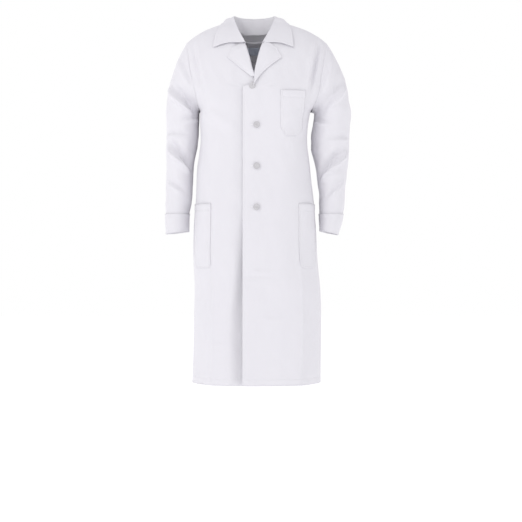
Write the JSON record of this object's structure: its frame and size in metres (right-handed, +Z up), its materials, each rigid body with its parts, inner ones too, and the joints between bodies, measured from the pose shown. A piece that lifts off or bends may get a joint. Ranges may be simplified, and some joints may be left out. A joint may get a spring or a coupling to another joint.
{
  "type": "lab coat",
  "caption": "Long white lab coat, buttoned, with notched lapels, one chest pocket, two hip patch pockets, cuffed sleeves, half belt and back vent.",
  "frame": {"origin": "base of the neck on the shoulder line, where the wearer's shoulders or a hanger carry the coat", "axes": "+Z up, +X towards the wearer's left, the buttoned front faces -Y"},
  "size_m": [0.5638, 0.32, 1.1109],
  "materials": {
    "coat_cloth": "white poly-cotton twill, pressed",
    "inner_cloth": "white twill, inner side",
    "interlining": "non-woven fusible, matte",
    "thread": "spun polyester sewing thread",
    "button": "polished white resin",
    "label": "blank woven satin"
  },
  "bodies": {
    "coat_body": {"left_front_panel": "coat_cloth", "right_front_panel": "coat_cloth", "left_back_panel": "coat_cloth", "right_back_panel": "coat_cloth", "left_front_facing": "inner_cloth", "right_front_facing": "inner_cloth", "left_front_interlining": "interlining", "left_lapel": "coat_cloth", "right_lapel": "coat_cloth", "upper_collar": "coat_cloth", "under_collar": "inner_cloth", "collar_stand": "inner_cloth", "back_neck_facing": "inner_cloth", "hanger_loop": "coat_cloth", "care_label": "label", "chest_pocket": "coat_cloth", "left_hip_pocket": "coat_cloth", "right_hip_pocket": "coat_cloth", "front_buttons": "button", "button_threads": "thread", "buttonhole_stitches": "thread", "back_belt": "coat_cloth", "belt_buttons": "button", "back_vent_underlap": "inner_cloth", "left_sleeve_head": "coat_cloth", "right_sleeve_head": "coat_cloth", "left_sleeve_gather": "coat_cloth", "right_sleeve_gather": "coat_cloth"},
    "left_sleeve": {"left_upper_sleeve": "coat_cloth", "left_elbow_fold": "coat_cloth"},
    "left_forearm": {"left_forearm_sleeve": "coat_cloth", "left_cuff": "coat_cloth", "left_cuff_facing": "inner_cloth"},
    "right_sleeve": {"right_upper_sleeve": "coat_cloth", "right_elbow_fold": "coat_cloth"},
    "right_forearm": {"right_forearm_sleeve": "coat_cloth", "right_cuff": "coat_cloth", "right_cuff_facing": "inner_cloth"},
    "left_skirt_flap": {"left_front_flap": "coat_cloth", "left_flap_facing": "inner_cloth"},
    "right_skirt_flap": {"right_front_flap": "coat_cloth", "right_flap_facing": "inner_cloth"},
    "vent_flap": {"back_vent_flap": "coat_cloth"}
  },
  "joints": [
    {"name": "left_sleeve_lift", "type": "hinge", "parent": "coat_body", "child": "left_sleeve", "pos_m": [0.169, 0, -0.266], "axis": [0, -1, 0], "range_deg": [0, 45], "deforming": ["left_sleeve_gather"]},
    {"name": "left_elbow_bend", "type": "hinge", "parent": "left_sleeve", "child": "left_forearm", "pos_m": [0.227, 0.004, -0.42], "axis": [-1, 0, 0], "range_deg": [0, 60], "deforming": ["left_elbow_fold"]},
    {"name": "right_sleeve_lift", "type": "hinge", "parent": "coat_body", "child": "right_sleeve", "pos_m": [-0.169, 0, -0.266], "axis": [0, 1, 0], "range_deg": [0, 45], "deforming": ["right_sleeve_gather"]},
    {"name": "right_elbow_bend", "type": "hinge", "parent": "right_sleeve", "child": "right_forearm", "pos_m": [-0.2325, 0.004, -0.42], "axis": [-1, 0, 0], "range_deg": [0, 60], "deforming": ["right_elbow_fold"]},
    {"name": "left_skirt_open", "type": "hinge", "parent": "coat_body", "child": "left_skirt_flap", "pos_m": [-0.041, -0.158, -0.59], "axis": [-0.2981, -0.02, 0.9543], "range_deg": [0, 60]},
    {"name": "right_skirt_open", "type": "hinge", "parent": "coat_body", "child": "right_skirt_flap", "pos_m": [0.041, -0.15, -0.872], "axis": [-0.45, -0.013, -0.8929], "range_deg": [0, 30]},
    {"name": "vent_open", "type": "hinge", "parent": "coat_body", "child": "vent_flap", "pos_m": [-0.003, 0.156, -0.7], "axis": [0.2401, 0.018, 0.9706], "range_deg": [0, 50]}
  ],
  "couplings": [
    {"joint": "right_skirt_open", "follows": "left_skirt_open", "ratio": 0.5}
  ]
}
